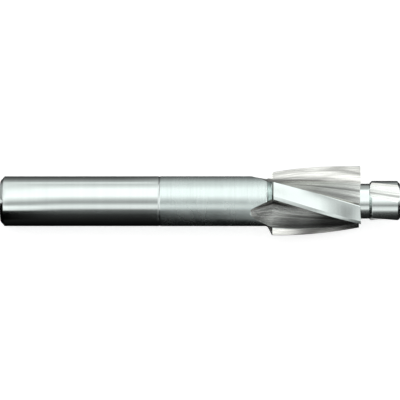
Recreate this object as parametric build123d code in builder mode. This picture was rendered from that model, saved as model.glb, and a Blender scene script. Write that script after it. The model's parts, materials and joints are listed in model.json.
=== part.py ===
from build123d import *
import os
from math import atan2, cos, degrees, radians, sin, tan

# Solid counterbore cutter with a fixed pilot, all in millimetres.
# The tool's axis runs along +X, shank end first, and the tool lies on a level surface as it would at rest.
# Around the axis, angles grow from +Y towards +Z, so that +Z, seen from above, is 90 degrees.

# Shank and neck, with a hairline groove where the ground shank ends
overall_length = 100.0
shank_diameter = 12.5
shank_chamfer = 0.95
ground_length = 39.5
groove_width = 0.55
groove_depth = 0.1

# Cutting head
head_diameter = 17.5
head_length = 22.0
rear_slope = 62.0
rear_fillet = 0.8
rear_bevel = 0.3

# Teeth, right hand cutting, with right hand spiral flutes
tooth_count = 3
helix_angle = 17.0
land_angle = 32.0
margin_width = 0.9
heel_drop = 0.2
rake_angle = 8.0
heel_slope = 13.0

# Relief of the end faces, which begins in the flute, ahead of the cutting edge
end_relief = 4.0
relief_lead = 0.3

# Flutes, which grow narrow as they run out on the neck
flute_floor_distance = 4.5
flute_floor_turn = 36.0
rake_foot_fillet = 3.3
heel_foot_fillet = 1.2
runout_slope = 17.0
runout_turn = 14.0
runout_share = 0.25

# Pilot and the undercut behind it
pilot_diameter = 10.2
pilot_length = 7.9
pilot_front_chamfer = 0.8
pilot_rear_chamfer = 0.65
undercut_length = 2.1
undercut_depth = 0.7

# Pose at rest: where the first tooth's front corner stands, so that the tool lies on three points
first_tooth_angle = 130.9

# Room that a cutting shape has past the surface that it cuts
cut_room = 2.0

# Sizes that follow
shank_radius = shank_diameter / 2
head_radius = head_diameter / 2
pilot_radius = pilot_diameter / 2
undercut_radius = pilot_radius - undercut_depth
pilot_rear = overall_length - pilot_length
head_front = pilot_rear - undercut_length
head_rear = head_front - head_length
cone_length = (head_radius - shank_radius) / tan(radians(rear_slope))
tooth_pitch = 360.0 / tooth_count
twist_rate = degrees(tan(radians(helix_angle)) / head_radius)
margin_angle = degrees(margin_width / head_radius)
relief_width = head_diameter
relief_drop = relief_width * tan(radians(end_relief))
relief_reach = head_radius + undercut_radius / 2
runout_lift = shank_radius - flute_floor_distance
runout_shift = flute_floor_distance * tan(radians(runout_turn))
runout_length = runout_lift / tan(radians(runout_slope))
fluted_length = overall_length + cut_room - head_rear


def tooth_angle(station):
    """Direction of the first tooth's cutting edge at a station along the axis."""
    return first_tooth_angle + twist_rate * (station - head_front)


def flute_section(station, lift, share):
    """Section of what is ground away ahead of the first tooth, shrunk to a share and raised by the lift.

    It holds the flute and the relief behind the margin of the tooth ahead. In the section's own
    frame the first tooth's cutting edge lies on the local X axis. It shrinks towards a point of the
    flute's floor, which is where the flute ends on the neck.
    """
    edge = radians(tooth_angle(station))
    across = radians(tooth_angle(station) + flute_floor_turn)
    section_plane = Plane(
        origin=(station, lift * cos(across), lift * sin(across)),
        x_dir=(0, cos(edge), sin(edge)),
        z_dir=(1, 0, 0),
    )
    ray = Vector(1, 0)
    heel = tooth_pitch - land_angle
    margin = tooth_pitch - margin_angle
    inward = ray.rotate(Axis.Z, 180 + rake_angle)
    down_heel = ray.rotate(Axis.Z, 180 + heel + heel_slope)
    floor_normal = ray.rotate(Axis.Z, flute_floor_turn)
    along_floor = ray.rotate(Axis.Z, flute_floor_turn + 90)
    floor_middle = floor_normal * flute_floor_distance
    runout_end = floor_middle + along_floor * runout_shift
    margin_edge = ray.rotate(Axis.Z, margin) * head_radius
    heel_edge = ray.rotate(Axis.Z, heel) * (head_radius - heel_drop)
    land_direction = (margin_edge - heel_edge).normalized()

    def drawn(point):
        """A point of the full section, after the section has shrunk."""
        return runout_end + (point - runout_end) * share

    rake_out = drawn(ray * head_radius - inward * cut_room)
    heel_out = drawn(heel_edge)
    land_out = drawn(margin_edge + land_direction * cut_room)
    outer_middle = drawn(ray.rotate(Axis.Z, margin / 2) * (head_radius + cut_room))
    with BuildSketch(section_plane) as section:
        with BuildLine():
            floor_line = Line(
                drawn(floor_middle - along_floor * head_diameter),
                drawn(floor_middle + along_floor * head_diameter),
                mode=Mode.PRIVATE,
            )
            rake_face = IntersectingLine(rake_out, inward, floor_line)
            heel_face = IntersectingLine(heel_out, down_heel, floor_line)
            flute_floor = Line(rake_face @ 1, heel_face @ 1)
            Line(heel_out, land_out)
            ThreePointArc(land_out, outer_middle, rake_out)
        make_face()
        rake_foot = section.vertices().sort_by_distance(flute_floor @ 0)[0]
        fillet(rake_foot, rake_foot_fillet * share)
        heel_foot = section.vertices().sort_by_distance(flute_floor @ 1)[0]
        fillet(heel_foot, heel_foot_fillet * share)
    return section.sketch


# Turned body: shank, groove, neck and head
with BuildPart() as cutter:
    with BuildSketch(Plane.XY) as body_outline:
        with BuildLine():
            Polyline(
                (0, 0),
                (0, shank_radius - shank_chamfer),
                (shank_chamfer, shank_radius),
                (ground_length, shank_radius),
                (ground_length + groove_width / 2, shank_radius - groove_depth),
                (ground_length + groove_width, shank_radius),
                (head_rear - cone_length, shank_radius),
                (head_rear, head_radius),
                (head_front, head_radius),
                (head_front, 0),
                close=True,
            )
        make_face()
        outline_corners = body_outline.vertices()
        cone_foot = outline_corners.sort_by_distance((head_rear - cone_length, shank_radius))[0]
        fillet(cone_foot, rear_fillet)
        rear_corner = body_outline.vertices().sort_by_distance((head_rear, head_radius))[0]
        chamfer(rear_corner, rear_bevel)
    revolve(axis=Axis.X)

    # Each tooth's end face falls away behind its cutting edge
    for tooth in range(tooth_count):
        edge = radians(first_tooth_angle + tooth * tooth_pitch)
        inward = edge + radians(180 + rake_angle)
        corner = Vector(head_front, head_radius * cos(edge), head_radius * sin(edge))
        along_edge = Vector(0, cos(inward), sin(inward))
        towards_heel = Vector(1, 0, 0).cross(along_edge)
        relief_plane = Plane(
            origin=corner - along_edge * cut_room - towards_heel * relief_lead,
            x_dir=towards_heel,
            z_dir=along_edge,
        )
        with BuildSketch(relief_plane):
            with BuildLine():
                Polyline((0, 0), (relief_width, 0), (relief_width, -relief_drop), close=True)
            make_face()
        extrude(amount=cut_room + relief_reach, mode=Mode.SUBTRACT)

    # Undercut and pilot, rooted in the head below the deepest relief
    with BuildSketch(Plane.XY) as pilot_outline:
        with BuildLine():
            Polyline(
                (head_front - relief_drop, 0),
                (head_front - relief_drop, undercut_radius),
                (pilot_rear, undercut_radius),
                (pilot_rear, pilot_radius - pilot_rear_chamfer),
                (pilot_rear + pilot_rear_chamfer, pilot_radius),
                (overall_length - pilot_front_chamfer, pilot_radius),
                (overall_length, pilot_radius - pilot_front_chamfer),
                (overall_length, 0),
                close=True,
            )
        make_face()
    revolve(axis=Axis.X)

# One flute: the spiral part through head and pilot, and the run-out on the neck
with BuildPart() as flute:
    head_section = flute_section(head_rear, 0, 1)
    add(
        Solid.extrude_linear_with_rotation(
            head_section.face(),
            (head_rear, 0, 0),
            (fluted_length, 0, 0),
            twist_rate * fluted_length,
        )
    )
    runout_section = flute_section(head_rear - runout_length, runout_lift, runout_share)
    loft([runout_section.face(), head_section.face()])

with BuildPart() as fluted_cutter:
    add(cutter.part)
    for tooth in range(tooth_count):
        add(flute.part, rotation=(tooth * tooth_pitch, 0, 0), mode=Mode.SUBTRACT)

# The finished tool, turned about the shank end so that head and shank both touch the surface
resting_tooth = radians(first_tooth_angle + tooth_pitch)
head_drop = -head_radius * sin(resting_tooth)
rest_rise = degrees(atan2(head_drop - shank_radius, head_front - shank_chamfer))

with BuildPart() as counterbore_cutter:
    add(fluted_cutter.part, rotation=(0, -rest_rise, 0))

counterbore_cutter.part.label = "counterbore_cutter"
os.makedirs("parts", exist_ok=True)
export_step(counterbore_cutter.part, "parts/counterbore_cutter.step")
print("rest rise", round(rest_rise, 4), "degrees")
print("volume", round(counterbore_cutter.part.volume, 2), "mm3")
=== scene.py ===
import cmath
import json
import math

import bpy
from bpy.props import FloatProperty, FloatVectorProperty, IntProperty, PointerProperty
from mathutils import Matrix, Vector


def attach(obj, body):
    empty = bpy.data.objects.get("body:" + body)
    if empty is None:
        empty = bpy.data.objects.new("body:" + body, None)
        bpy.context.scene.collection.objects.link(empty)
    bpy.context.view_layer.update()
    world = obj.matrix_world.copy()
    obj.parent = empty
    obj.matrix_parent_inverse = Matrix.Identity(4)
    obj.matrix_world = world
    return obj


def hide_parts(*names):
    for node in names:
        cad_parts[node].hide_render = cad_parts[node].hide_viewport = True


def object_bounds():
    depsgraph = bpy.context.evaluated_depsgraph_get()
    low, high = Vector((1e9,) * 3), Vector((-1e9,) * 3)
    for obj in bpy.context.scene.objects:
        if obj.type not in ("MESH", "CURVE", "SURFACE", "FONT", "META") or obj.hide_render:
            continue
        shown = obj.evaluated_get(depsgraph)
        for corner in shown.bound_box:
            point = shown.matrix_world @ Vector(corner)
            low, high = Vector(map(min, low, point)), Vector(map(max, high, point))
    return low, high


bl_info = {
    "name": "Counterbore Cutter",
    "version": (1, 0, 0),
    "blender": (4, 5, 0),
    "location": "3D View > Sidebar > Cutter",
    "description": "Makes a solid counterbore cutter with a fixed pilot, its finishes and a plain studio",
    "category": "Add Mesh",
}

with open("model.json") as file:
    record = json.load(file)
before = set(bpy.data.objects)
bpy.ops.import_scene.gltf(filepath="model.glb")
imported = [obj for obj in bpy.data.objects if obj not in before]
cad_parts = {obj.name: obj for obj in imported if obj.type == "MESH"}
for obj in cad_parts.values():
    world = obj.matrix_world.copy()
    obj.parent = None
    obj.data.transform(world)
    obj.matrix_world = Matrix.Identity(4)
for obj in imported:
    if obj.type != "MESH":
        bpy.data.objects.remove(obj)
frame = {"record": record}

CUTTER = "counterbore_cutter"
MOUNT_RADIUS = {mount["name"]: mount["dims"].get("r_mm", 0) / 1000 for mount in frame["record"]["mounts"]}
CAD_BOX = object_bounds()
FLOOR_HEIGHT = CAD_BOX[0].z

# Numbers by which a face names its finish
GROUND, SATIN, LAND, FLUTE, RAKE, END, PILOT, GROOVE, BEVEL = range(9)

# Steps of the mesh along the tool's outline, in metres. The last is longer than the tool, so that a band
# stays whole.
END_STEP = 0.0015
SHANK_CHAMFER_STEP = 0.0005
SHANK_STEP = 0.002
GROOVE_STEP = 0.0002
NECK_STEP = 0.0015
RUNOUT_STEP = 0.00018
CONE_STEP = 0.00012
BEVEL_STEP = 0.0001
HEAD_STEP = 0.00025
PILOT_FACE_STEP = 0.0001
PILOT_CHAMFER_STEP = 0.00008
PILOT_STEP = 0.0004
WHOLE_STEP = 1.0

# How many steps the undercut takes, and the widest step round a corner
UNDERCUT_STEPS = 22
BEND_STEP = math.radians(12)

# How far the undercut's columns stand behind those of the teeth's end faces, where they leave the cutting
# edge, the foot of the rake face and the heel
EDGE_LAG = math.radians(10)
FOOT_LAG = EDGE_LAG / 6
HEEL_LAG = EDGE_LAG / 3

# Halvings that find where a flute leaves a round, how close points are joined, and from which angle on an
# edge is sharp
HALVINGS = 40
JOIN_DISTANCE = 0.0000015
SHARP_ANGLE = math.radians(15)

# How tightly a finish's marks are packed, per metre: along the tool and across it, or across a flute and
# along it
GROUND_LINES = (9000, 60, 60)
GROUND_BANDS = (900, 40, 40)
GROUND_CLOUDS = 160.0
SATIN_GRAIN = 9000.0
SATIN_LINES = (5000, 90, 90)
SATIN_CLOUDS = (260, 120, 120)
FLUTE_STREAKS = (4200, 130, 1)
FLUTE_BANDS = (1300, 60, 1)
TURNED_RINGS = 9000.0
TURNED_ALONG = 3000.0
TURNED_CLOUDS = 400.0

# Range that noise seldom leaves, and the narrower one that gives the flutes their hard streaks
NOISE_RANGE = (0.3, 0.7)
STREAK_RANGE = (0.38, 0.6)

# Share of a colour's brightness that is left in the dark marks of its finish, and in the flutes' painted
# shade
GROUND_SHADE = 0.93
SATIN_SHADE = 0.88
STREAK_SHADE = 0.55
# Share left in the painted shade along the flutes' feet and floor
PAINTED_SHADE_LEFT = 0.2
TURNED_SHADE = 0.84

# Share of the finest marks in a finish's shading. Broader ones make up the rest.
GROUND_FINE = 0.6
SATIN_FINE = 0.7
FLUTE_FINE = 0.6
TURNED_FINE = 0.7

# How much rougher a finish gets where its marks are strongest
GROUND_UNEVEN = 0.04
LINES_UNEVEN = 0.03
SATIN_UNEVEN = 0.05
FLUTE_UNEVEN = 0.08
TURNED_UNEVEN = 0.08

# Depth of each finish's fine relief, in metres
SHANK_RELIEF = 0.0000002
PILOT_RELIEF = 0.0000004
LAND_RELIEF = 0.0000006
SATIN_RELIEF = 0.0000012
TURNED_RELIEF = 0.000002
RAKE_RELIEF = 0.00002
FLUTE_RELIEF = 0.00005

# Painted shade along a flute, by where each stretch begins, is full, stops being full and ends, in metres:
# a dark line at the foot of the rake face and one along the floor, both counted from the rake side of the
# flute's floor, and a dark band at the foot of the heel face, counted from its heel side.
RAKE_FOOT_SHADE = (-0.0004, 0.0, 0.0002, 0.0007)
FLOOR_SHADE_LINE = (0.0019, 0.0025, 0.0028, 0.0032)
HEEL_FOOT_SHADE = (-0.0022, -0.0014, -0.0002, 0.0002)

# How dark the painted shade is: the rake foot line's own share, and for the others two stations and the
# share at each
RAKE_SHADE_DEPTH = 0.25
FLOOR_SHADE_DEPTH = (0.067, 0.075, 0.0, 0.85)
HEEL_SHADE_DEPTH = (0.076, 0.086, 0.15, 0.75)

# Range over which broad marks weaken the painted shade
SHADE_UNEVEN = (0.6, 1.0)

# Camera, floor and lamp, in metres. The sensor is in millimetres, and the lamp's power in watts per square
# metre at level 1.
SENSOR_WIDTH = 36
VIEW_END = 10
FLOOR_REACH = 3.0
LAMP_SIZE = 0.5
LAMP_SIDE = 0.1
LAMP_HEIGHT = 0.5
LAMP_POWER = 4
FLOOR_ROUGHNESS = 0.9

# Directions of the reflected cards in degrees, and how high those on the floor lie above it
CARD_ANGLES = range(-174, 175, 2)
CARD_LIFT = 0.0002


def length(name, default, description):
    return FloatProperty(
        name=name, description=description, default=default, min=0, precision=5, unit="LENGTH"
    )


def angle(name, degrees, description):
    return FloatProperty(
        name=name, description=description, default=math.radians(degrees), subtype="ANGLE"
    )


def share(name, default, description):
    return FloatProperty(
        name=name, description=description, default=default, min=0, max=1, subtype="FACTOR"
    )


def level(name, default, description):
    return FloatProperty(name=name, description=description, default=default, min=0)


def colour(name, default, description):
    return FloatVectorProperty(
        name=name, description=description, default=default, min=0, max=1, size=3, subtype="COLOR"
    )


class CutterBody(bpy.types.PropertyGroup):
    """Sizes of the turned body"""

    overall_length: length("Overall length", 0.1, "From the shank's end to the pilot's end")
    shank_radius: length("Shank radius", MOUNT_RADIUS["shank"], "Radius of the shank and the neck")
    shank_chamfer: length("Shank chamfer", 0.00095, "Chamfer of the shank's end")
    ground_length: length("Ground length", 0.0395, "Length of the ground shank")
    groove_width: length("Groove width", 0.00055, "Width of the hairline groove behind the ground shank")
    groove_depth: length("Groove depth", 0.0001, "Depth of that groove")
    head_radius: length("Head radius", 0.00875, "Radius of the cutting head")
    head_length: length("Head length", 0.022, "Length of the cutting head")
    rear_slope: angle("Rear slope", 62, "Slope of the cone behind the head")
    rear_fillet: length("Rear fillet", 0.0008, "Rounding at the foot of that cone")
    rear_bevel: length("Rear bevel", 0.0003, "Bevel of the head's rear corner")
    undercut_length: length("Undercut length", 0.0021, "Length of the undercut behind the pilot")
    undercut_depth: length("Undercut depth", 0.0007, "Depth of the undercut below the pilot")
    pilot_radius: length("Pilot radius", MOUNT_RADIUS["pilot"], "Radius of the pilot")
    pilot_length: length("Pilot length", 0.0079, "Length of the pilot")
    pilot_front_chamfer: length("Pilot front chamfer", 0.0008, "Chamfer of the pilot's front end")
    pilot_rear_chamfer: length("Pilot rear chamfer", 0.00065, "Chamfer of the pilot's rear end")
    edge_rounding: length("Edge rounding", 0.00005, "Rounding of the turned corners")


class CutterTeeth(bpy.types.PropertyGroup):
    """Sizes of the teeth and flutes"""

    count: IntProperty(name="Teeth", description="Number of teeth", default=3, min=2, max=8)
    helix_angle: angle("Helix", 17, "Angle of the flutes at the head's radius")
    first_tooth: angle("First tooth", 130.9, "Where the first tooth's front corner stands, from +Y to +Z")
    land_angle: angle("Land", 32, "Share of the turn that one tooth's land takes")
    margin_width: length("Margin width", 0.0009, "Width of the round margin at the cutting edge")
    heel_drop: length("Heel drop", 0.0002, "How much lower the heel stands than the margin")
    heel_slope: angle("Heel slope", 13, "Slope of the heel's face")
    rake_angle: angle("Rake", 8, "Rake of the cutting face")
    end_relief: angle("End relief", 4, "Fall of the end face behind the cutting edge")
    relief_lead: length("Relief lead", 0.0003, "How far ahead of the cutting edge that fall begins")
    floor_distance: length("Floor distance", 0.0045, "Distance of the flute's floor from the axis")
    floor_turn: angle("Floor turn", 36, "Direction that the flute's floor faces, from the cutting edge")
    rake_foot_fillet: length("Rake foot fillet", 0.0033, "Rounding at the foot of the rake face")
    heel_foot_fillet: length("Heel foot fillet", 0.0012, "Rounding at the foot of the heel face")
    runout_slope: angle("Run-out slope", 17, "Slope at which the flute runs out on the neck")
    runout_turn: angle("Run-out turn", 14, "Direction of the flute's end, from the floor's direction")
    runout_share: share("Run-out share", 0.25, "Share of its width that the flute keeps at its end")
    hone: length("Hone", 0.00003, "Width of the fine flat on the cutting edge")
    heel_break: length("Heel break", 0.00011, "Width of the fine flat on the heel's edge")


class CutterFinish(bpy.types.PropertyGroup):
    """Colours and polish of the steel"""

    ground_steel: colour("Ground steel", (0.64, 0.70, 0.68), "Colour of the ground faces")
    satin_steel: colour("Satin steel", (0.62, 0.70, 0.68), "Colour of the satin neck")
    # Darker than the ground steel: painted shade in the hairline groove
    groove_painted_shade: colour("Groove steel", (0.46, 0.50, 0.49), "Colour of the hairline groove")
    # Near black: painted shade on the bevel of the head's rear corner
    bevel_painted_shade: colour("Bevel steel", (0.13, 0.15, 0.14), "Colour of the bevel on the head's rear corner")
    fluted_steel: colour("Fluted steel", (0.88, 0.92, 0.88), "Colour of the flutes")
    rake_steel: colour("Rake steel", (0.80, 0.81, 0.77), "Colour of the rake and heel faces")
    shank_roughness: share("Shank roughness", 0.10, "Roughness of the ground shank")
    satin_roughness: share("Satin roughness", 0.24, "Roughness of the satin neck")
    land_roughness: share("Land roughness", 0.16, "Roughness of the lands")
    flute_roughness: share("Flute roughness", 0.2, "Roughness of the flutes")
    rake_roughness: share("Rake roughness", 0.17, "Roughness of the rake and heel faces")
    turned_roughness: share("Turned roughness", 0.24, "Roughness of the turned ends")


class CutterStage(bpy.types.PropertyGroup):
    """Floor, lamp, reflected cards and camera"""

    floor_colour: colour("Floor colour", (0.85, 0.85, 0.85), "Colour of the floor")
    floor_shine: level("Floor shine", 0.56, "Share of white that the floor adds")
    room_level: level("Room", 0.38, "Brightness of the room")
    lamp_level: level("Lamp", 1.2, "Brightness of the large soft lamp")
    tunnel_radius: length("Tunnel radius", 0.2, "Distance of the cards that the steel reflects")
    lens: FloatProperty(
        name="Lens", description="Focal length of the camera in millimetres", default=300, min=1
    )
    view_width: length("View width", 0.10025, "Width of what the camera sees")
    view_centre_x: length("View centre", 0.04987, "Where the view's centre lies along the tool")
    axis_drop: length("Axis drop", 0.0003, "How far the tool's axis lies below the view's centre")


# What each part of the tool reflects, as pairs: a card's direction in degrees, from straight up towards +Y,
# and its level. The shank and the neck share all but the last pairs.
ROUND_LIGHT = (
    (-160, 0.0), (-125, 0.004), (-100, 0.012), (-86, 0.02), (-70, 0.036), (-58, 0.065), (-50, 0.13),
    (-42, 0.2), (-38, 0.35), (-34, 0.9), (-30, 1.2), (-20, 1.2), (-14, 0.85), (-6, 0.5), (0, 0.56),
    (8, 0.8), (18, 1.3), (24, 1.6), (56, 1.6), (68, 1.2),
)
SHANK_LIGHT = ROUND_LIGHT + (
    (82, 0.82), (89, 1.0), (94, 1.35), (98, 0.92), (103, 0.58), (122, 0.22), (140, 0.12), (156, 0.05),
)
NECK_LIGHT = ROUND_LIGHT + (
    (82, 0.9), (89, 1.0), (98, 0.85), (115, 0.45), (134, 0.22), (156, 0.05),
)

# The front of the head with the pilot, the rear of the head, and the rake faces, which show what stands
# further back
HEAD_LIGHT = (
    (-160, 0.01), (-130, 0.018), (-98, 0.03), (-82, 0.055), (-70, 0.12), (-62, 0.25), (-54, 0.85),
    (-49, 1.25), (-38, 1.1), (-34, 1.0), (-30, 0.68), (-26, 0.42), (-22, 0.44), (-17, 0.65), (-10, 0.95),
    (-2, 1.3), (3, 1.6), (30, 1.5), (55, 1.6), (66, 1.8), (75, 1.5), (84, 0.85), (92, 0.62), (106, 0.55),
    (120, 0.45), (132, 0.15), (160, 0.0),
)
ROOT_LIGHT = (
    (-160, 0.0), (-130, 0.0), (-118, 0.05), (-106, 0.25), (-94, 0.65), (-82, 1.05), (-70, 1.4), (-50, 1.4),
    (-38, 1.1), (-30, 0.68), (-24, 0.53), (-18, 0.62), (-10, 0.95), (-2, 1.3), (3, 1.6), (30, 1.5),
    (37, 1.2), (42, 1.05), (48, 1.1), (58, 1.4), (82, 1.35), (92, 1.1), (104, 0.6), (114, 0.3),
    (147, 0.2), (160, 0.1),
)
RAKE_LIGHT = (
    (-160, 0.0), (-46, 0.0), (-40, 1.3), (-26, 1.5), (-22, 0.8), (-15, 0.5), (-5, 0.6), (4, 1.1),
    (13, 1.4), (22, 1.7), (45, 1.5), (65, 1.15), (100, 1.0), (125, 0.6), (160, 0.3),
)
FAR_RAKE_LIGHT = (
    (-160, 0.0), (-46, 0.0), (-40, 1.3), (-26, 1.5), (-15, 0.8), (0, 1.3), (8, 1.6), (20, 1.15),
    (30, 0.75), (40, 0.85), (50, 0.95), (70, 1.05), (100, 1.0), (125, 0.5), (160, 0.2),
)

# The heel faces, the flutes' run-outs on the neck, and what leans still further forward
HEEL_LIGHT = (
    (-160, 0.0), (-78, 0.0), (-70, 0.05), (-60, 0.15), (-52, 0.35), (-47, 0.7), (-40, 1.2), (-34, 1.7),
    (20, 1.7), (60, 2.0), (130, 2.0), (145, 0.4), (160, 0.2),
)
RUNOUT_LIGHT = (
    (-160, 0.0), (-100, 0.2), (-84, 1.1), (-73, 1.1), (-66, 0.65), (-61, 0.1), (-55, 0.0), (-48, 0.0),
    (-44, 0.3), (-38, 0.8), (-20, 1.6), (20, 1.7), (60, 2.0), (140, 2.0), (160, 0.6),
)
LOW_RUNOUT_LIGHT = ((-160, 0.0), (-20, 0.0), (20, 1.7), (60, 2.0), (140, 2.0), (160, 0.6))

# Faces that lean well back towards the shank's end, and those that look straight back
BACK_LIGHT = ((-160, 0.0), (-60, 0.0), (-40, 2.5), (95, 2.5), (115, 0.25), (160, 0.15))
BEHIND_LIGHT = ((-160, 0.1), (65, 0.1), (82, 2.0), (112, 2.0), (120, 0.8), (127, 0.15), (160, 0.1))

# Stations along the tool, in metres, between which the light changes from one to the next
LIGHTS = (
    (-0.5, BEHIND_LIGHT), (-0.49, BEHIND_LIGHT), (-0.24, BEHIND_LIGHT),
    (-0.2, BACK_LIGHT), (-0.13, BACK_LIGHT),
    (-0.12, FAR_RAKE_LIGHT), (-0.045, FAR_RAKE_LIGHT),
    (-0.03, RAKE_LIGHT), (-0.012, RAKE_LIGHT),
    (-0.004, SHANK_LIGHT), (0.03, SHANK_LIGHT),
    (0.042, NECK_LIGHT), (0.064, NECK_LIGHT),
    (0.070, ROOT_LIGHT), (0.078, ROOT_LIGHT),
    (0.084, HEAD_LIGHT), (0.13, HEAD_LIGHT),
    (0.145, HEEL_LIGHT), (0.168, HEEL_LIGHT),
    (0.18, RUNOUT_LIGHT), (0.21, RUNOUT_LIGHT),
    (0.218, LOW_RUNOUT_LIGHT), (1.0, LOW_RUNOUT_LIGHT),
)


class Wire:
    """One output of a node. Sums written on it add Math nodes to its tree."""

    def __init__(self, graph, socket):
        self.graph = graph
        self.socket = socket

    def math(self, operation, *values):
        return self.graph.add("ShaderNodeMath", {"operation": operation}, dict(enumerate(values)))

    def __add__(self, other):
        return self.math("ADD", self, other)

    __radd__ = __add__

    def __mul__(self, other):
        return self.math("MULTIPLY", self, other)

    __rmul__ = __mul__

    def __sub__(self, other):
        return self.math("SUBTRACT", self, other)

    def __rsub__(self, other):
        return self.math("SUBTRACT", other, self)

    def __truediv__(self, other):
        return self.math("DIVIDE", self, other)

    def __rtruediv__(self, other):
        return self.math("DIVIDE", other, self)

    def __pow__(self, other):
        return self.math("POWER", self, other)

    def largest(self, other):
        return self.math("MAXIMUM", self, other)


class Graph:
    """A node tree that is written as calls."""

    def __init__(self, tree):
        self.tree = tree

    def add(self, kind, settings=None, inputs=None, output=0):
        """Adds a node, sets it up, fills its sockets with values or wires, and returns one output."""
        node = self.tree.nodes.new(kind)
        for name, value in (settings or {}).items():
            setattr(node, name, value)
        for key, value in (inputs or {}).items():
            socket = self.find(node.inputs, key)
            if isinstance(value, Wire):
                self.tree.links.new(value.socket, socket)
            else:
                socket.default_value = value
        return Wire(self, self.find(node.outputs, output)) if len(node.outputs) else None

    @staticmethod
    def find(sockets, key):
        """A socket by its number, its identifier or its name."""
        if isinstance(key, int):
            return sockets[key]
        return next(socket for socket in sockets if key in (socket.identifier, socket.name))

    def other(self, wire, output):
        """Another output of the node that a wire comes from."""
        return Wire(self, self.find(wire.socket.node.outputs, output))

    def mix(self, factor, first, second):
        """A colour between two colours."""
        return self.add(
            "ShaderNodeMix",
            {"data_type": "RGBA"},
            {"Factor_Float": factor, "A_Color": first, "B_Color": second},
            "Result_Color",
        )

    def spread(self, value, low, high, to_low=0.0, to_high=1.0):
        """A value carried from one range to another, and held at its ends."""
        return self.add(
            "ShaderNodeMapRange",
            None,
            {"Value": value, "From Min": low, "From Max": high, "To Min": to_low, "To Max": to_high},
        )

    def stripe(self, value, places):
        """1 between the two inner places, falling to 0 at the outer two."""
        begins, full, fades, ends = places
        return self.spread(value, begins, full) * self.spread(value, ends, fades)

    def noise(self, place, scale, detail=2.0, roughness=0.5):
        """Cloudy noise between 0 and 1."""
        return self.add(
            "ShaderNodeTexNoise",
            None,
            {"Vector": place, "Scale": scale, "Detail": detail, "Roughness": roughness},
            "Fac",
        )

    def marks(self, place, packing, detail=2.0, roughness=0.5):
        """Noise packed by its own number in each direction, which draws it out into lines."""
        packed = self.add("ShaderNodeVectorMath", {"operation": "MULTIPLY"}, {0: place, 1: packing})
        return self.noise(packed, 1.0, detail, roughness)


def opaque(rgb):
    """A colour as a socket takes it."""
    return (*rgb, 1.0)


def darkened(rgb, share_left):
    """A colour as a socket takes it, with this share of its brightness."""
    return opaque(channel * share_left for channel in rgb)


def shaded(graph, rgb, share_left, fine, broad, fine_share, noise_range=NOISE_RANGE):
    """A colour that fine and broad marks darken, down to this share of its brightness."""
    shade = graph.spread(fine * fine_share + broad * (1 - fine_share), *noise_range)
    return graph.mix(shade, darkened(rgb, share_left), opaque(rgb))


def roughened(graph, roughness, marks, amount):
    """A roughness that grows by this amount where the marks are strongest."""
    return roughness + graph.spread(marks, *NOISE_RANGE) * amount


def turned_place(graph):
    """Place on the piece with the tool's axis along X, free of the rest rise."""
    scene = bpy.context.scene
    place = graph.add("ShaderNodeTexCoord", None, None, "Object")
    return graph.add(
        "ShaderNodeVectorRotate",
        {"rotation_type": "Y_AXIS"},
        {"Vector": place, "Angle": rest_rise(scene.cutter_body, scene.cutter_teeth)},
    )


def new_material(name):
    """An empty material with its graph."""
    material = bpy.data.materials.new(name)
    material.use_nodes = True
    material.node_tree.nodes.clear()
    return material, Graph(material.node_tree)


def steel(graph, base, roughness, height, depth):
    """Ends a graph in metal with this colour, roughness and fine relief."""
    relief = graph.add("ShaderNodeBump", None, {"Height": height, "Distance": depth, "Strength": 1.0})
    shader = graph.add(
        "ShaderNodeBsdfPrincipled",
        None,
        {"Base Color": base, "Metallic": 1.0, "Roughness": roughness, "Normal": relief},
    )
    graph.add("ShaderNodeOutputMaterial", None, {"Surface": shader})


def ground_steel(name, rgb, roughness, depth):
    """Ground round face: fine lines round the tool, and a few fainter cloudy marks."""
    material, graph = new_material(name)
    place = turned_place(graph)
    lines = graph.marks(place, GROUND_LINES, detail=3.0, roughness=0.6)
    bands = graph.marks(place, GROUND_BANDS)
    clouds = graph.noise(place, GROUND_CLOUDS, detail=3.0)
    base = shaded(graph, rgb, GROUND_SHADE, lines, bands, GROUND_FINE)
    cloudy = roughened(graph, roughness, clouds, GROUND_UNEVEN)
    steel(graph, base, roughened(graph, cloudy, lines, LINES_UNEVEN), lines, depth)
    return material


def satin_steel(name, rgb, roughness, depth):
    """Satin neck: fine turned lines under an even matt grain."""
    material, graph = new_material(name)
    place = turned_place(graph)
    grain = graph.noise(place, SATIN_GRAIN)
    lines = graph.marks(place, SATIN_LINES, detail=3.0, roughness=0.65)
    clouds = graph.marks(place, SATIN_CLOUDS, detail=3.0)
    base = shaded(graph, rgb, SATIN_SHADE, lines, clouds, SATIN_FINE)
    rough = roughened(graph, roughness, clouds, SATIN_UNEVEN)
    steel(graph, base, rough, grain * 0.5 + lines, depth)
    return material


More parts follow.
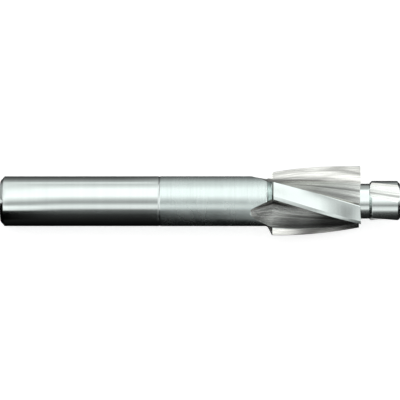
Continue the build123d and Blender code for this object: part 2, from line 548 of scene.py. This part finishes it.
def fluted_steel(name, rgb, roughness, depth, floor_width):
    """Ground flute: streaks that follow the flute, and painted shade: a dark line along the foot of the
    rake face, a dark line along the floor and a dark band along the foot of the heel face, these two darker
    towards the front. The map's X is the distance past the heel side of the floor, and its Y the station
    along the tool."""
    material, graph = new_material(name)
    surface = graph.add("ShaderNodeUVMap", {"uv_map": "surface"})
    past_heel = graph.add("ShaderNodeSeparateXYZ", None, {"Vector": surface}, "X")
    station = graph.other(past_heel, "Y")
    past_rake = past_heel + floor_width
    fine = graph.marks(surface, FLUTE_STREAKS, detail=3.0, roughness=0.65)
    broad = graph.marks(surface, FLUTE_BANDS)
    streaked = shaded(graph, rgb, STREAK_SHADE, fine, broad, FLUTE_FINE, STREAK_RANGE)
    # Painted shade: dark lines at the rake's foot and along the floor, and a dark band at the heel's foot
    line = graph.stripe(past_rake, RAKE_FOOT_SHADE) * RAKE_SHADE_DEPTH
    floor_shade = graph.stripe(past_rake, FLOOR_SHADE_LINE) * graph.spread(station, *FLOOR_SHADE_DEPTH)
    band = graph.stripe(past_heel, HEEL_FOOT_SHADE) * graph.spread(station, *HEEL_SHADE_DEPTH)
    painted_shade = line.largest(floor_shade).largest(band) * graph.spread(broad, *NOISE_RANGE, *SHADE_UNEVEN)
    base = graph.mix(painted_shade, streaked, darkened(rgb, PAINTED_SHADE_LEFT))
    rough = roughened(graph, roughness, broad, FLUTE_UNEVEN)
    steel(graph, base, rough, fine * 0.5 + broad * 0.5, depth)
    return material


def turned_steel(name, rgb, roughness, depth):
    """Turned end: fine rings about the axis."""
    material, graph = new_material(name)
    place = turned_place(graph)
    x = graph.add("ShaderNodeSeparateXYZ", None, {"Vector": place}, "X")
    y = graph.other(x, "Y")
    z = graph.other(x, "Z")
    radius = (y * y + z * z) ** 0.5
    rings = graph.add("ShaderNodeCombineXYZ", None, {"X": radius * TURNED_RINGS, "Y": x * TURNED_ALONG})
    lines = graph.noise(rings, 1.0, detail=3.0, roughness=0.6)
    clouds = graph.noise(place, TURNED_CLOUDS)
    base = shaded(graph, rgb, TURNED_SHADE, lines, clouds, TURNED_FINE)
    steel(graph, base, roughened(graph, roughness, clouds, TURNED_UNEVEN), lines, depth)
    return material


def turn(radians):
    """Unit direction at an angle in a section, as a complex number: the section's own X is real."""
    return cmath.rect(1.0, radians)


def dot(first, second):
    return (first * second.conjugate()).real


def straight(start, end):
    return lambda part: start + (end - start) * part


def arc(centre, start, end):
    sweep = cmath.phase((end - centre) / (start - centre))
    return lambda part: centre + (start - centre) * turn(part * sweep)


def rounding(corner, before, after, radius):
    """Start, centre and end of the arc that rounds a corner, from the two directions that leave it."""
    half = abs(cmath.phase(after / before)) / 2
    reach = radius / math.tan(half)
    middle = (before + after) / abs(before + after)
    return corner + before * reach, corner + middle * radius / math.sin(half), corner + after * reach


def between(value, steps, stops):
    """Straight interpolation through a few stops."""
    for low, high, start, end in zip(steps, steps[1:], stops, stops[1:]):
        if value <= high:
            return start + (end - start) * (value - low) / (high - low)
    return stops[-1]


def smooth(part):
    """A share that starts and ends gently."""
    return part * part * (3 - 2 * part)


class Flute:
    """One flute and the land behind it, in the head's section, with the cutting edge on the section's X.

    Its wall has five stretches: rake face, its foot, floor, heel face's foot and heel face. A place on the
    wall is a number: its whole part names the stretch, its fraction how far along it.
    """

    stretches = (4, 16, 14, 5, 6)
    floor_begins = 2
    floor_ends = 3
    heel_begins = 4
    land_steps = 37
    margin_steps = 3

    def __init__(self, body, teeth):
        self.pitch = math.tau / teeth.count
        self.outward = turn(teeth.floor_turn)
        self.floor = teeth.floor_distance
        margin = self.pitch - teeth.margin_width / body.head_radius
        heel_angle = self.pitch - teeth.land_angle
        edge = complex(body.head_radius)
        down_rake = turn(math.pi + teeth.rake_angle)
        heel = turn(heel_angle) * (body.head_radius - teeth.heel_drop)
        down_heel = turn(math.pi + heel_angle + teeth.heel_slope)
        margin_start = turn(margin) * body.head_radius
        along_land = (margin_start - heel) / abs(margin_start - heel)
        rake_foot = self.foot(edge, down_rake)
        heel_foot = self.foot(heel, down_heel)
        along_floor = (heel_foot - rake_foot) / abs(heel_foot - rake_foot)
        rake_end, rake_centre, floor_start = rounding(
            rake_foot, -down_rake, along_floor, teeth.rake_foot_fillet
        )
        floor_end, heel_centre, heel_start = rounding(
            heel_foot, -along_floor, -down_heel, teeth.heel_foot_fillet
        )
        self.edge_low = edge + down_rake * teeth.hone
        heel_low = heel + down_heel * teeth.heel_break
        self.wall = [
            straight(self.edge_low, rake_end),
            arc(rake_centre, rake_end, floor_start),
            straight(floor_start, floor_end),
            arc(heel_centre, floor_end, heel_start),
            straight(heel_start, heel_low),
        ]
        self.places = [i + k / n for i, n in enumerate(self.stretches) for k in range(n)]
        self.places.append(len(self.wall))
        self.end = self.outward * (self.floor + 1j * self.floor * math.tan(teeth.runout_turn))
        self.floor_width = abs(floor_end - floor_start)
        self.lowest = self.floor_begins + abs(self.end - floor_start) / self.floor_width
        self.full_lift = body.shank_radius - self.floor
        self.end_share = teeth.runout_share
        land = straight(heel + along_land * teeth.heel_break, margin_start)
        edge_high = turn(self.pitch - teeth.hone / body.head_radius) * body.head_radius
        round_margin = arc(0, margin_start, edge_high)
        self.land = [heel_low]
        self.land += [land(k / self.land_steps) for k in range(self.land_steps)]
        self.land += [round_margin(k / self.margin_steps) for k in range(self.margin_steps + 1)]
        self.land.append(self.edge_low * turn(self.pitch))
        first = cmath.phase(self.land[0])
        last = cmath.phase(self.land[-1])
        self.shares = [(cmath.phase(point) - first) / (last - first) for point in self.land]

    def foot(self, start, direction):
        """Where a line meets the flute's floor."""
        return start + direction * (self.floor - dot(start, self.outward)) / dot(direction, self.outward)

    def at(self, place):
        """The point at a place on the wall."""
        index = min(int(place), len(self.wall) - 1)
        return self.wall[index](place - index)

    def raised(self, place, lift):
        """A place of the wall where the flute runs out: narrower and higher towards its end."""
        width_left = 1 - (1 - self.end_share) * lift / self.full_lift
        return self.end + self.outward * lift + (self.at(place) - self.end) * width_left

    def crossing(self, outside, radius, lift):
        """Place between the lowest one and an outer one where the raised wall leaves a disc."""
        if abs(self.raised(outside, lift)) <= radius:
            return outside
        inside = self.lowest
        for _ in range(HALVINGS):
            middle = (inside + outside) / 2
            if abs(self.raised(middle, lift)) > radius:
                outside = middle
            else:
                inside = middle
        return inside

    def section(self, radius, lift):
        """Points of one flute and its land on a body of this radius, and whether the flute cuts it."""
        lift = min(lift, self.full_lift)
        lowest = self.end + self.outward * lift
        open_here = radius > abs(lowest)
        if open_here:
            start = self.crossing(0, radius, lift)
            end = self.crossing(len(self.wall), radius, lift)
            points = [self.raised(min(max(place, start), end), lift) for place in self.places]
        else:
            points = [lowest / abs(lowest) * radius] * len(self.places)
        first = cmath.phase(points[-1])
        last = cmath.phase(points[0]) + self.pitch
        for part, land in zip(self.shares[1:], self.land[1:]):
            points.append(turn(first + (last - first) * part) * min(radius, abs(land)))
        return points, open_here


class Outline:
    """Turned outline of the body, from corner to corner, as rings."""

    def __init__(self):
        self.corners = []

    def corner(self, station, radius, rounding_radius, finish, step):
        """Adds a corner, with the finish and the step of the band that follows it."""
        self.corners.append((complex(station, radius), rounding_radius, finish, step))

    def rings(self):
        """Each ring's station and radius as a complex number, and the finish of the band that follows."""
        made = []
        for index, (corner, radius, finish, _) in enumerate(self.corners):
            points = [corner]
            if 0 < index < len(self.corners) - 1 and radius:
                before = self.corners[index - 1][0] - corner
                after = self.corners[index + 1][0] - corner
                start, centre, end = rounding(corner, before / abs(before), after / abs(after), radius)
                bend = arc(centre, start, end)
                swept = abs(cmath.phase((end - centre) / (start - centre)))
                turns = max(2, math.ceil(swept / BEND_STEP))
                points = [bend(k / turns) for k in range(turns + 1)]
            if made:
                last, last_finish = made[-1]
                count = max(1, math.ceil(abs(points[0] - last) / self.corners[index - 1][3]))
                made += [(last + (points[0] - last) * k / count, last_finish) for k in range(1, count)]
            made += [(point, finish) for point in points]
        return made


def heights(body, teeth):
    """Stations and lengths that follow from the sizes."""
    pilot_rear = body.overall_length - body.pilot_length
    head_front = pilot_rear - body.undercut_length
    head_rear = head_front - body.head_length
    runout_length = (body.shank_radius - teeth.floor_distance) / math.tan(teeth.runout_slope)
    return {
        "pilot_rear": pilot_rear,
        "head_front": head_front,
        "head_rear": head_rear,
        "cone_start": head_rear - (body.head_radius - body.shank_radius) / math.tan(body.rear_slope),
        "undercut_radius": body.pilot_radius - body.undercut_depth,
        "runout_start": head_rear - runout_length,
        "twist": math.tan(teeth.helix_angle) / body.head_radius,
    }


def rest_rise(body, teeth):
    """How much the axis rises towards the pilot as the tool lies on its shank's end and one tooth."""
    resting = teeth.first_tooth + math.tau / teeth.count
    drop = -body.head_radius * math.sin(resting)
    return math.atan2(drop - body.shank_radius, heights(body, teeth)["head_front"] - body.shank_chamfer)


def end_fall(teeth, flute, body, point, tooth):
    """How far one tooth's end face has fallen at a point of the section."""
    corner = turn(tooth * flute.pitch) * body.head_radius
    behind = turn(tooth * flute.pitch + teeth.rake_angle - math.pi / 2)
    return max(0.0, dot(point - corner, behind) + teeth.relief_lead) * math.tan(teeth.end_relief)


def rear_outline(body, at):
    """Outline from the shank's end to the head's front corner."""
    soft = body.edge_rounding
    shank = body.shank_radius
    groove = body.ground_length
    line = Outline()
    line.corner(0, 0, 0, END, END_STEP)
    line.corner(0, shank - body.shank_chamfer, 2 * soft, GROUND, SHANK_CHAMFER_STEP)
    line.corner(body.shank_chamfer, shank, 2 * soft, GROUND, SHANK_STEP)
    line.corner(groove, shank, soft, GROOVE, GROOVE_STEP)
    line.corner(groove + body.groove_width / 2, shank - body.groove_depth, soft, GROOVE, GROOVE_STEP)
    line.corner(groove + body.groove_width, shank, soft, SATIN, NECK_STEP)
    line.corner(at["runout_start"], shank, 0, SATIN, RUNOUT_STEP)
    line.corner(at["cone_start"], shank, body.rear_fillet, SATIN, CONE_STEP)
    rear_corner = complex(at["head_rear"], body.head_radius)
    bevel_start = rear_corner - turn(body.rear_slope) * body.rear_bevel
    line.corner(bevel_start.real, bevel_start.imag, 0, BEVEL, BEVEL_STEP)
    line.corner(at["head_rear"] + body.rear_bevel, body.head_radius, 0, LAND, HEAD_STEP)
    line.corner(at["head_front"], body.head_radius, 0, END, WHOLE_STEP)
    return line.rings()


def pilot_outline(body, at):
    """Outline from the undercut's front to the middle of the pilot's end."""
    soft = body.edge_rounding
    pilot = body.pilot_radius
    rear = at["pilot_rear"]
    front = body.overall_length
    line = Outline()
    line.corner(rear, at["undercut_radius"], 0, END, PILOT_FACE_STEP)
    line.corner(rear, pilot - body.pilot_rear_chamfer, 0, PILOT, PILOT_CHAMFER_STEP)
    line.corner(rear + body.pilot_rear_chamfer, pilot, soft, PILOT, PILOT_STEP)
    line.corner(front - body.pilot_front_chamfer, pilot, soft, PILOT, PILOT_CHAMFER_STEP)
    line.corner(front, pilot - body.pilot_front_chamfer, soft, END, END_STEP)
    line.corner(front, 0, 0, END, WHOLE_STEP)
    return line.rings()


def front_rings(body, teeth, flute, at):
    """Rings of the teeth's end faces and of the undercut, whose columns gather again behind the pilot."""
    root = at["undercut_radius"]
    wall_count = len(flute.places)
    head_points, _ = flute.section(body.head_radius, 0)
    root_points, _ = flute.section(root, 0)
    to_lowest = flute.lowest - flute.floor_begins
    ahead_shares = [min(max((place - flute.floor_begins) / to_lowest, 0.0), 1.0) for place in flute.places]
    ahead_shares += [1.0] * (len(head_points) - wall_count)

    def fallen(point, part):
        """Station of the end face at a point, between this tooth's face and that of the tooth ahead."""
        own = end_fall(teeth, flute, body, point, 0)
        ahead = end_fall(teeth, flute, body, point, 1)
        return at["head_front"] - (own + (ahead - own) * part)

    steps = (0, flute.floor_begins, flute.lowest, len(flute.wall))
    heel_phase = cmath.phase(flute.at(len(flute.wall)))
    stops = (-EDGE_LAG, -FOOT_LAG, cmath.phase(flute.outward), heel_phase - HEEL_LAG)
    spread_angles = [between(place, steps, stops) for place in flute.places]
    first = spread_angles[-1]
    spread_angles += [first + (flute.pitch - EDGE_LAG - first) * part for part in flute.shares[1:]]
    gathered_angles = [cmath.phase(point) for point in root_points]
    face = [(fallen(point, part), point) for point, part in zip(head_points, ahead_shares)]
    rings = [(face, True, END)]
    for k in range(UNDERCUT_STEPS + 1):
        part = k / UNDERCUT_STEPS
        ring = []
        for loose, tight, ahead_share in zip(spread_angles, gathered_angles, ahead_shares):
            point = turn(loose + (tight - loose) * smooth(part)) * root
            start = fallen(point, ahead_share)
            ring.append((start + (at["pilot_rear"] - start) * part, point))
        rings.append((ring, False, PILOT))
    return rings


def sector_mesh(body, teeth):
    """One tooth's share of the tool, not yet twisted, as a mesh with a finish for each face."""
    at = heights(body, teeth)
    flute = Flute(body, teeth)
    rings = []
    for point, finish in rear_outline(body, at)[:-1]:
        lift = max(0.0, at["head_rear"] - point.real) * math.tan(teeth.runout_slope)
        points, is_open = flute.section(point.imag, lift)
        rings.append(([(point.real, p) for p in points], is_open, finish))
    rings += front_rings(body, teeth, flute, at)
    for point, finish in pilot_outline(body, at)[1:]:
        points, is_open = flute.section(point.imag, 0)
        rings.append(([(point.real, p) for p in points], is_open, finish))

    head_points, _ = flute.section(body.head_radius, 0)
    across = [0.0]
    for here, there in zip(head_points, head_points[1:]):
        across.append(across[-1] + abs(there - here))
    columns = len(head_points)
    wall_last = len(flute.places) - 1
    floor_first = flute.places.index(flute.floor_begins)
    heel_first = flute.places.index(flute.heel_begins)
    past_heel = [distance - across[flute.places.index(flute.floor_ends)] for distance in across]
    corners = [(x, p.real, p.imag) for ring, _, _ in rings for x, p in ring]
    faces, finishes, uvs = [], [], []
    for i, ((ring, is_open, finish), (following, next_open, _)) in enumerate(zip(rings, rings[1:])):
        for j in range(columns - 1):
            here = i * columns + j
            faces.append((here, here + 1, here + columns + 1, here + columns))
            kind = finish
            if j < wall_last and is_open and next_open:
                kind = FLUTE if floor_first <= j < heel_first else RAKE
            finishes.append(kind)
            x, next_x = ring[j][0], following[j][0]
            left, right = past_heel[j], past_heel[j + 1]
            uvs += [(left, x), (right, x), (right, next_x), (left, next_x)]
    mesh = bpy.data.meshes.new(CUTTER + "_sector")
    mesh.from_pydata(corners, [], faces)
    layer = mesh.uv_layers.new(name="surface")
    for loop, uv in zip(layer.data, uvs):
        loop.uv = uv
    attribute = mesh.attributes.new("finish", "INT", "FACE")
    attribute.data.foreach_set("value", finishes)
    return mesh


def twist_tree(materials):
    """Geometry nodes that twist one tooth's share, repeat it, join the copies and lay the tool down."""
    tree = bpy.data.node_groups.new("cutter_twist", "GeometryNodeTree")
    tree.interface.new_socket(name="Geometry", in_out="INPUT", socket_type="NodeSocketGeometry")
    named = {"Teeth": "NodeSocketInt"}
    for name in ("Twist per metre", "Front station", "Twist start", "First tooth", "Rest rise"):
        named[name] = "NodeSocketFloat"
    identifiers = {
        name: tree.interface.new_socket(name=name, in_out="INPUT", socket_type=kind).identifier
        for name, kind in named.items()
    }
    tree.interface.new_socket(name="Geometry", in_out="OUTPUT", socket_type="NodeSocketGeometry")
    graph = Graph(tree)
    given = graph.add("NodeGroupInput", None, None, "Geometry")
    value = {name: graph.other(given, name) for name in named}
    place = graph.add("GeometryNodeInputPosition")
    station = graph.add("ShaderNodeSeparateXYZ", None, {"Vector": place}, "X")
    held = station.largest(value["Twist start"])
    turned = value["First tooth"] + (held - value["Front station"]) * value["Twist per metre"]
    twisted = graph.add(
        "ShaderNodeVectorRotate", {"rotation_type": "X_AXIS"}, {"Vector": place, "Angle": turned}
    )
    sector = graph.add("GeometryNodeSetPosition", None, {"Geometry": given, "Position": twisted})
    starts = graph.add("GeometryNodeMeshLine", None, {"Count": value["Teeth"], "Offset": (0, 0, 0)})
    around = graph.add("GeometryNodeInputIndex") * (math.tau / value["Teeth"])
    rotation = graph.add("ShaderNodeCombineXYZ", None, {"X": around})
    copies = graph.add(
        "GeometryNodeInstanceOnPoints", None, {"Points": starts, "Instance": sector, "Rotation": rotation}
    )
    whole = graph.add("GeometryNodeRealizeInstances", None, {"Geometry": copies})
    joined = graph.add("GeometryNodeMergeByDistance", None, {"Geometry": whole, "Distance": JOIN_DISTANCE})
    lean = graph.add("ShaderNodeCombineXYZ", None, {"Y": value["Rest rise"] * -1.0})
    laid = graph.add("GeometryNodeTransform", None, {"Geometry": joined, "Rotation": lean})
    for number, material in enumerate(materials):
        finish = graph.add("GeometryNodeInputNamedAttribute", {"data_type": "INT"}, {"Name": "finish"})
        chosen = graph.add(
            "FunctionNodeCompare",
            {"data_type": "INT", "operation": "EQUAL"},
            {"A_INT": finish, "B_INT": number},
        )
        laid = graph.add(
            "GeometryNodeSetMaterial", None, {"Geometry": laid, "Selection": chosen, "Material": material}
        )
    graph.add("NodeGroupOutput", None, {"Geometry": laid})
    return tree, identifiers


class CUTTER_OT_make(bpy.types.Operator):
    """Makes the cutter: shank, neck, fluted head and pilot in one piece"""

    bl_idname = "cutter.make"
    bl_label = "Make cutter"

    def execute(self, context):
        body, teeth = context.scene.cutter_body, context.scene.cutter_teeth
        look = context.scene.cutter_finish
        at = heights(body, teeth)
        width = Flute(body, teeth).floor_width
        shine = look.ground_steel
        materials = [
            ground_steel("steel_ground_shank", shine, look.shank_roughness, SHANK_RELIEF),
            satin_steel("steel_satin_neck", look.satin_steel, look.satin_roughness, SATIN_RELIEF),
            ground_steel("steel_ground_land", shine, look.land_roughness, LAND_RELIEF),
            # Both flute materials carry painted shade along the flutes' feet and floor
            fluted_steel("steel_flute_floor", look.fluted_steel, look.flute_roughness, FLUTE_RELIEF, width),
            fluted_steel("steel_rake_face", look.rake_steel, look.rake_roughness, RAKE_RELIEF, width),
            turned_steel("steel_turned_end", shine, look.turned_roughness, TURNED_RELIEF),
            ground_steel("steel_ground_pilot", shine, look.shank_roughness, PILOT_RELIEF),
            # The groove's darker colour is painted shade
            ground_steel("steel_groove_painted_shade", look.groove_painted_shade, look.land_roughness, LAND_RELIEF),
            # The rear bevel's near black colour is painted shade
            ground_steel("steel_rear_bevel_painted_shade", look.bevel_painted_shade, look.land_roughness, LAND_RELIEF),
        ]
        tree, identifiers = twist_tree(materials)
        sector = bpy.data.objects.new(CUTTER + "_sector", sector_mesh(body, teeth))
        context.scene.collection.objects.link(sector)
        sector.data.materials.append(materials[0])
        modifier = sector.modifiers.new("twist", "NODES")
        modifier.node_group = tree
        values = {
            "Teeth": teeth.count,
            "Twist per metre": at["twist"],
            "Front station": at["head_front"],
            "Twist start": at["runout_start"],
            "First tooth": teeth.first_tooth,
            "Rest rise": rest_rise(body, teeth),
        }
        for name, value in values.items():
            modifier[identifiers[name]] = value
        evaluated = sector.evaluated_get(context.evaluated_depsgraph_get())
        mesh = bpy.data.meshes.new_from_object(evaluated)
        bpy.data.objects.remove(sector)
        mesh.name = "finished_cutter"
        mesh.shade_smooth()
        mesh.set_sharp_from_angle(angle=SHARP_ANGLE)
        cutter = bpy.data.objects.new("finished_cutter", mesh)
        context.scene.collection.objects.link(cutter)
        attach(cutter, "root")
        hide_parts(CUTTER)
        return {"FINISHED"}


def level_at(light, degrees):
    """Level of a light in a direction, straight between its stops."""
    steps, stops = zip(*light)
    return between(max(degrees, steps[0]), steps, stops)


def tunnel_place(degrees, radius, tool_radius):
    """Place across the tool of the card that shows in this direction: overhead on an arc, then down to the
    floor and in along it, where it also counts which point of the round tool the direction starts from."""
    bend = math.radians(degrees)
    side = math.copysign(1.0, bend)
    floor_from = math.pi / 2 + math.atan2(tool_radius, radius)
    if abs(bend) <= math.pi / 2:
        return radius * math.sin(bend), radius * math.cos(bend)
    if abs(bend) <= floor_from:
        return side * radius, FLOOR_HEIGHT
    leaving = abs(bend) / 2
    fall = math.tan(abs(bend) - math.pi / 2)
    reach = tool_radius * math.sin(leaving) + tool_radius * (1 + math.cos(leaving)) / fall
    return side * min(radius, reach), FLOOR_HEIGHT + CARD_LIFT


def light_tunnel(stage, body):
    """Cards round the tool, bright and dark by turns, that only reflections see. The first station is a
    point, so that the end behind the shank is closed."""
    corners, levels, faces = [], [], []
    for index, (station, light) in enumerate(LIGHTS):
        for degrees in CARD_ANGLES:
            y, z = tunnel_place(degrees, stage.tunnel_radius, body.shank_radius) if index else (0.0, 0.0)
            corners.append((station, y, z))
            levels.append(level_at(light, degrees))
    row = len(CARD_ANGLES)
    for i in range(len(LIGHTS) - 1):
        for here in range(i * row, i * row + row - 1):
            faces.append((here, here + 1, here + row + 1, here + row))
    mesh = bpy.data.meshes.new("light_tunnel")
    mesh.from_pydata(corners, [], faces)
    mesh.attributes.new("level", "FLOAT", "POINT").data.foreach_set("value", levels)
    material, graph = new_material("card_light")
    shown = graph.add("ShaderNodeAttribute", {"attribute_name": "level"}, None, "Color")
    shader = graph.add("ShaderNodeEmission", None, {"Color": shown, "Strength": 1.0})
    graph.add("ShaderNodeOutputMaterial", None, {"Surface": shader})
    mesh.materials.append(material)
    tunnel = bpy.data.objects.new("light_tunnel", mesh)
    for ray in ("camera", "diffuse", "transmission", "volume_scatter", "shadow"):
        setattr(tunnel, "visible_" + ray, False)
    bpy.context.scene.collection.objects.link(tunnel)


def seen_or_reflected(graph):
    """1 where a ray comes from the camera, a shiny face or through glass, and 0 where it only lights."""
    ray = graph.add("ShaderNodeLightPath", None, None, "Is Camera Ray")
    return ray.largest(graph.other(ray, "Is Glossy Ray")).largest(graph.other(ray, "Is Transmission Ray"))


def floor_material(stage):
    """Pale matt floor that the camera and the metal see as white, with the tool's shadow on it."""
    material, graph = new_material("floor_pale")
    shine = graph.mix(seen_or_reflected(graph), opaque([0.0] * 3), opaque([1.0] * 3))
    shader = graph.add(
        "ShaderNodeBsdfPrincipled",
        None,
        {
            "Base Color": opaque(stage.floor_colour),
            "Roughness": FLOOR_ROUGHNESS,
            "Emission Color": shine,
            "Emission Strength": stage.floor_shine,
        },
    )
    graph.add("ShaderNodeOutputMaterial", None, {"Surface": shader})
    return material


class CUTTER_OT_stage(bpy.types.Operator):
    """Makes the floor, the lamp, the reflected cards and the camera"""

    bl_idname = "cutter.stage"
    bl_label = "Set stage"

    def execute(self, context):
        scene = context.scene
        stage, body = scene.cutter_stage, scene.cutter_body
        scene.view_settings.view_transform = "Standard"

        camera_data = bpy.data.cameras.new("camera")
        camera_data.lens = stage.lens
        camera_data.sensor_width = SENSOR_WIDTH
        camera_data.clip_end = VIEW_END
        distance = stage.view_width * stage.lens / camera_data.sensor_width
        camera = bpy.data.objects.new("camera", camera_data)
        camera.location = (stage.view_centre_x, stage.axis_drop, distance)
        scene.collection.objects.link(camera)
        scene.camera = camera

        floor_mesh = bpy.data.meshes.new("floor")
        directions = ((-1, -1), (1, -1), (1, 1), (-1, 1))
        corners = [(x * FLOOR_REACH, y * FLOOR_REACH, FLOOR_HEIGHT) for x, y in directions]
        floor_mesh.from_pydata(corners, [], [(0, 1, 2, 3)])
        floor_mesh.materials.append(floor_material(stage))
        floor = bpy.data.objects.new("floor", floor_mesh)
        scene.collection.objects.link(floor)

        world = bpy.data.worlds.new("room")
        world.use_nodes = True
        world.node_tree.nodes.clear()
        graph = Graph(world.node_tree)
        room = graph.add("ShaderNodeBackground", None, {"Color": opaque([stage.room_level] * 3)})
        white = graph.add("ShaderNodeBackground", None, {"Color": opaque([1.0] * 3)})
        seen = seen_or_reflected(graph)
        backdrop = graph.add("ShaderNodeMixShader", None, {"Fac": seen, 1: room, 2: white})
        graph.add("ShaderNodeOutputWorld", None, {"Surface": backdrop})
        scene.world = world

        lamp_data = bpy.data.lights.new("soft_lamp", "AREA")
        lamp_data.size = LAMP_SIZE
        lamp_data.energy = stage.lamp_level * LAMP_POWER * LAMP_SIZE**2
        lamp = bpy.data.objects.new("soft_lamp", lamp_data)
        lamp.location = (stage.view_centre_x, LAMP_SIDE, LAMP_HEIGHT)
        lamp.rotation_euler = (-math.atan2(LAMP_SIDE, LAMP_HEIGHT), 0, 0)
        lamp.visible_camera = False
        lamp.visible_glossy = False
        scene.collection.objects.link(lamp)

        light_tunnel(stage, body)
        return {"FINISHED"}


class CUTTER_PT_panel(bpy.types.Panel):
    """Sizes, finishes and the studio of the cutter"""

    bl_label = "Counterbore cutter"
    bl_idname = "CUTTER_PT_panel"
    bl_space_type = "VIEW_3D"
    bl_region_type = "UI"
    bl_category = "Cutter"

    def draw(self, context):
        scene = context.scene
        for operator in (CUTTER_OT_make, CUTTER_OT_stage):
            self.layout.operator(operator.bl_idname)
        for title, group in (
            ("Body", scene.cutter_body),
            ("Teeth", scene.cutter_teeth),
            ("Finish", scene.cutter_finish),
            ("Stage", scene.cutter_stage),
        ):
            box = self.layout.box()
            box.label(text=title)
            for name in group.__annotations__:
                box.prop(group, name)


GROUPS = {
    "cutter_body": CutterBody,
    "cutter_teeth": CutterTeeth,
    "cutter_finish": CutterFinish,
    "cutter_stage": CutterStage,
}
CLASSES = (*GROUPS.values(), CUTTER_OT_make, CUTTER_OT_stage, CUTTER_PT_panel)


def register():
    for made in CLASSES:
        bpy.utils.register_class(made)
    for name, group in GROUPS.items():
        setattr(bpy.types.Scene, name, PointerProperty(type=group))


def unregister():
    for name in GROUPS:
        delattr(bpy.types.Scene, name)
    for made in reversed(CLASSES):
        bpy.utils.unregister_class(made)


def main():
    register()
    bpy.ops.cutter.make()
    bpy.ops.cutter.stage()


if __name__ == "__main__":
    main()
